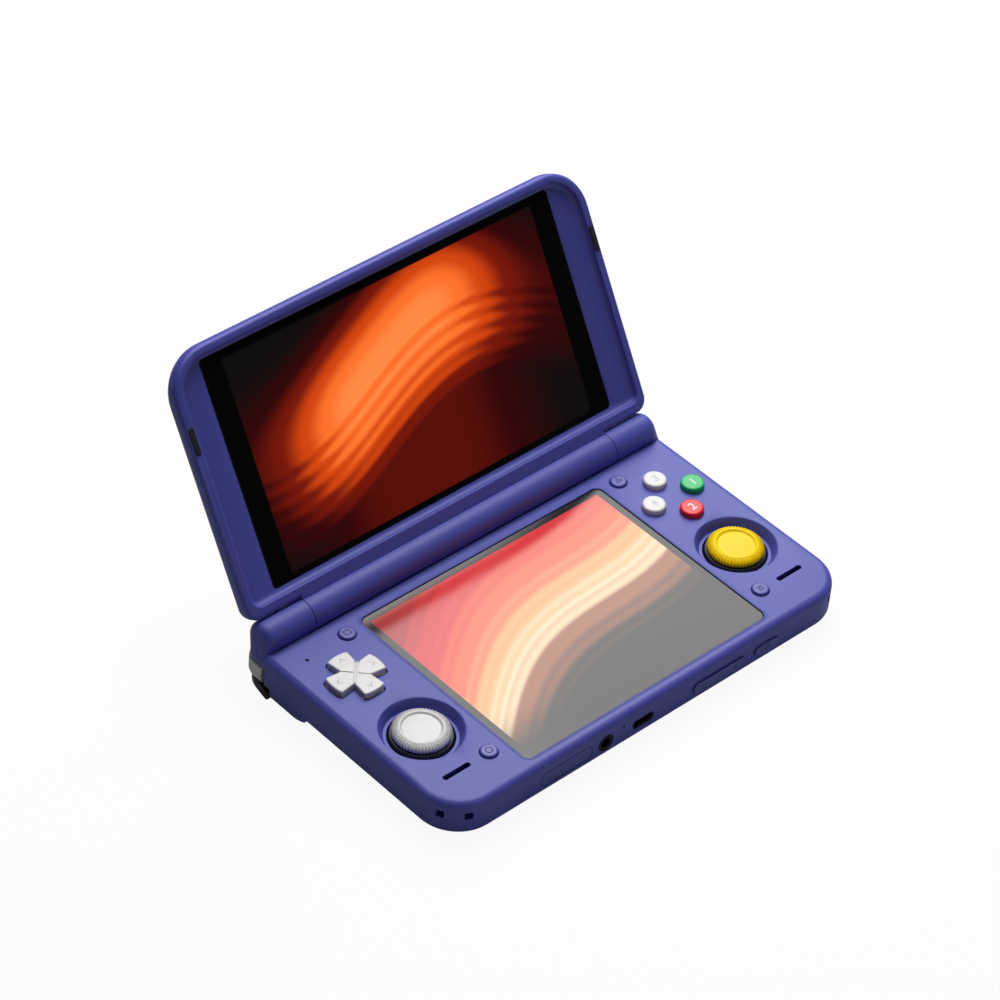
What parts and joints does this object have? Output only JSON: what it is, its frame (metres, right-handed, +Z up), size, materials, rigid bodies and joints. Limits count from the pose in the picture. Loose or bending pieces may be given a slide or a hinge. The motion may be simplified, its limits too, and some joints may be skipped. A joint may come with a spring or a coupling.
{
  "type": "clamshell handheld game console",
  "caption": "Two-screen clamshell handheld console: a base with sticks, pad, buttons and ports, and a lid on a friction hinge.",
  "frame": {"origin": "centre of the rear rubber foot, on its underside", "axes": "+Z up, +Y to the rear (towards the hinge), +X to the right as the player sees it; the top face of the base is level"},
  "size_m": [0.1788, 0.1509, 0.1059],
  "materials": {
    "indigo_shell": "satin moulded",
    "indigo_under_shell": "satin moulded",
    "indigo_buttons": "semi-gloss",
    "cover_glass": "polished black",
    "display_module": "smooth",
    "plated_steel": "plated",
    "circuit_board": "solder mask",
    "battery_wrap": "matte film",
    "copper_cooler": "bare",
    "black_plastic": "matte",
    "silicone_mat": "matte",
    "white_plastic": "semi-gloss",
    "yellow_grip": "soft matte",
    "green_plastic": "semi-gloss",
    "red_plastic": "semi-gloss",
    "black_rubber": "matte",
    "screw_steel": "blackened",
    "cable_film": "polyimide film"
  },
  "bodies": {
    "base": {"upper_case": "indigo_shell", "lower_case": "indigo_under_shell", "lower_cover_glass": "cover_glass", "lower_display_panel": "display_module", "mid_frame": "plated_steel", "usb_c_port": "plated_steel", "card_reader": "plated_steel", "left_hinge_cartridge": "plated_steel", "right_hinge_cartridge": "plated_steel", "main_board": "circuit_board", "port_board": "circuit_board", "left_control_board": "circuit_board", "right_control_board": "circuit_board", "battery": "battery_wrap", "heat_sink": "copper_cooler", "fan_housing": "black_plastic", "exhaust_grille": "black_plastic", "headphone_jack": "black_plastic", "left_speaker": "black_plastic", "right_speaker": "black_plastic", "left_stick_housing": "black_plastic", "right_stick_housing": "black_plastic", "left_button_mat": "silicone_mat", "right_button_mat": "silicone_mat", "rubber_feet": "black_rubber", "case_screws": "screw_steel"},
    "lid": {"hinge_barrel": "indigo_shell", "lid_front_bezel": "indigo_shell", "lid_back_cover": "indigo_under_shell", "upper_cover_glass": "cover_glass", "upper_display_panel": "display_module", "lid_bumpers": "black_rubber", "lid_board": "circuit_board", "display_cable": "cable_film"},
    "fan": {"fan_impeller": "black_plastic"},
    "pad_rocker": {"pad_rocker": "black_plastic"},
    "pad": {"direction_pad": "white_plastic"},
    "left_gimbal": {"left_stick_gimbal": "plated_steel"},
    "left_stem": {"left_stick_stem": "black_plastic"},
    "left_cap": {"left_stick_skirt": "black_plastic", "left_stick_cap": "white_plastic"},
    "left_shoulder": {"left_shoulder_button": "white_plastic"},
    "left_trigger": {"left_trigger": "black_plastic"},
    "right_gimbal": {"right_stick_gimbal": "plated_steel"},
    "right_stem": {"right_stick_stem": "black_plastic"},
    "right_cap": {"right_stick_skirt": "black_plastic", "right_stick_cap": "yellow_grip"},
    "right_shoulder": {"right_shoulder_button": "white_plastic"},
    "right_trigger": {"right_trigger": "black_plastic"},
    "face_front": {"face_button_front": "red_plastic"},
    "face_rear": {"face_button_rear": "white_plastic"},
    "face_left": {"face_button_left": "white_plastic"},
    "face_right": {"face_button_right": "green_plastic"},
    "small_rear_left": {"small_button_rear_left": "indigo_buttons"},
    "small_rear_right": {"small_button_rear_right": "indigo_buttons"},
    "small_front_left": {"small_button_front_left": "indigo_buttons"},
    "small_front_right": {"small_button_front_right": "indigo_buttons"},
    "power": {"power_button": "indigo_buttons"},
    "volume": {"volume_rocker": "indigo_buttons"},
    "flap": {"card_flap": "indigo_buttons"}
  },
  "joints": [
    {"name": "lid_hinge", "type": "hinge", "parent": "base", "child": "lid", "pos_m": [0, 0.01092, 0.0215], "axis": [1, 0, 0], "range_deg": [-59, 120.6]},
    {"name": "fan_spin", "type": "hinge", "parent": "base", "child": "fan", "pos_m": [-0.03, 0.0005, 0.01], "axis": [0, 0, 1], "continuous": true},
    {"name": "left_stick_tilt_fore_aft", "type": "hinge", "parent": "base", "child": "left_gimbal", "pos_m": [-0.0704, -0.0501, 0.0131], "axis": [1, 0, 0], "range_deg": [-13, 13], "stiffness_Nm_per_rad": 0.02},
    {"name": "left_stick_tilt_side", "type": "hinge", "parent": "left_gimbal", "child": "left_stem", "pos_m": [-0.0704, -0.0501, 0.0131], "axis": [0, 1, 0], "range_deg": [-13, 13], "stiffness_Nm_per_rad": 0.02},
    {"name": "left_stick_click", "type": "slide", "parent": "left_stem", "child": "left_cap", "axis": [0, 0, 1], "range_m": [-0.0004, 0], "stiffness_N_per_m": 2500, "springref_m": 0.0004},
    {"name": "left_shoulder_press", "type": "hinge", "parent": "base", "child": "left_shoulder", "pos_m": [-0.0578, 0.0146, 0.0118], "axis": [0, 0, 1], "range_deg": [0, 1.5], "stiffness_Nm_per_rad": 3, "springref_deg": -0.57},
    {"name": "left_trigger_pull", "type": "hinge", "parent": "base", "child": "left_trigger", "pos_m": [-0.074, 0.011, 0.0053], "axis": [1, 0, 0], "range_deg": [-10, 0], "stiffness_Nm_per_rad": 0.03, "springref_deg": 8.59},
    {"name": "right_stick_tilt_fore_aft", "type": "hinge", "parent": "base", "child": "right_gimbal", "pos_m": [0.0704, -0.0501, 0.0131], "axis": [1, 0, 0], "range_deg": [-13, 13], "stiffness_Nm_per_rad": 0.02},
    {"name": "right_stick_tilt_side", "type": "hinge", "parent": "right_gimbal", "child": "right_stem", "pos_m": [0.0704, -0.0501, 0.0131], "axis": [0, 1, 0], "range_deg": [-13, 13], "stiffness_Nm_per_rad": 0.02},
    {"name": "right_stick_click", "type": "slide", "parent": "right_stem", "child": "right_cap", "axis": [0, 0, 1], "range_m": [-0.0004, 0], "stiffness_N_per_m": 2500, "springref_m": 0.0004},
    {"name": "right_shoulder_press", "type": "hinge", "parent": "base", "child": "right_shoulder", "pos_m": [0.0578, 0.0146, 0.0118], "axis": [0, 0, 1], "range_deg": [-1.5, 0], "stiffness_Nm_per_rad": 3, "springref_deg": 0.57},
    {"name": "right_trigger_pull", "type": "hinge", "parent": "base", "child": "right_trigger", "pos_m": [0.074, 0.011, 0.0053], "axis": [1, 0, 0], "range_deg": [-10, 0], "stiffness_Nm_per_rad": 0.03, "springref_deg": 8.59},
    {"name": "pad_tilt_fore_aft", "type": "hinge", "parent": "base", "child": "pad_rocker", "pos_m": [-0.0718, -0.0196, 0.0155], "axis": [1, 0, 0], "range_deg": [-2.5, 2.5], "stiffness_Nm_per_rad": 0.15},
    {"name": "pad_tilt_side", "type": "hinge", "parent": "pad_rocker", "child": "pad", "pos_m": [-0.0718, -0.0196, 0.0155], "axis": [0, 1, 0], "range_deg": [-2.5, 2.5], "stiffness_Nm_per_rad": 0.15},
    {"name": "face_button_front_press", "type": "slide", "parent": "base", "child": "face_front", "axis": [0, 0, 1], "range_m": [-0.001, 0], "stiffness_N_per_m": 500, "springref_m": 0.0008},
    {"name": "face_button_rear_press", "type": "slide", "parent": "base", "child": "face_rear", "axis": [0, 0, 1], "range_m": [-0.001, 0], "stiffness_N_per_m": 500, "springref_m": 0.0008},
    {"name": "face_button_left_press", "type": "slide", "parent": "base", "child": "face_left", "axis": [0, 0, 1], "range_m": [-0.001, 0], "stiffness_N_per_m": 500, "springref_m": 0.0008},
    {"name": "face_button_right_press", "type": "slide", "parent": "base", "child": "face_right", "axis": [0, 0, 1], "range_m": [-0.001, 0], "stiffness_N_per_m": 500, "springref_m": 0.0008},
    {"name": "small_button_rear_left_press", "type": "slide", "parent": "base", "child": "small_rear_left", "axis": [0, 0, 1], "range_m": [-0.0006, 0], "stiffness_N_per_m": 800, "springref_m": 0.0005},
    {"name": "small_button_rear_right_press", "type": "slide", "parent": "base", "child": "small_rear_right", "axis": [0, 0, 1], "range_m": [-0.0006, 0], "stiffness_N_per_m": 800, "springref_m": 0.0005},
    {"name": "small_button_front_left_press", "type": "slide", "parent": "base", "child": "small_front_left", "axis": [0, 0, 1], "range_m": [-0.0006, 0], "stiffness_N_per_m": 800, "springref_m": 0.0005},
    {"name": "small_button_front_right_press", "type": "slide", "parent": "base", "child": "small_front_right", "axis": [0, 0, 1], "range_m": [-0.0006, 0], "stiffness_N_per_m": 800, "springref_m": 0.0005},
    {"name": "power_button_press", "type": "slide", "parent": "base", "child": "power", "axis": [0, 1, 0], "range_m": [0, 0.0005], "stiffness_N_per_m": 1500, "springref_m": -0.0004},
    {"name": "volume_rock", "type": "hinge", "parent": "base", "child": "volume", "pos_m": [0.0272, -0.0838, 0.0118], "axis": [0, 0, 1], "range_deg": [-1.5, 1.5], "stiffness_Nm_per_rad": 2},
    {"name": "card_flap_swing", "type": "hinge", "parent": "base", "child": "flap", "pos_m": [-0.0405, -0.086, 0.0095], "axis": [1, 0, 0], "range_deg": [0, 85]}
  ]
}
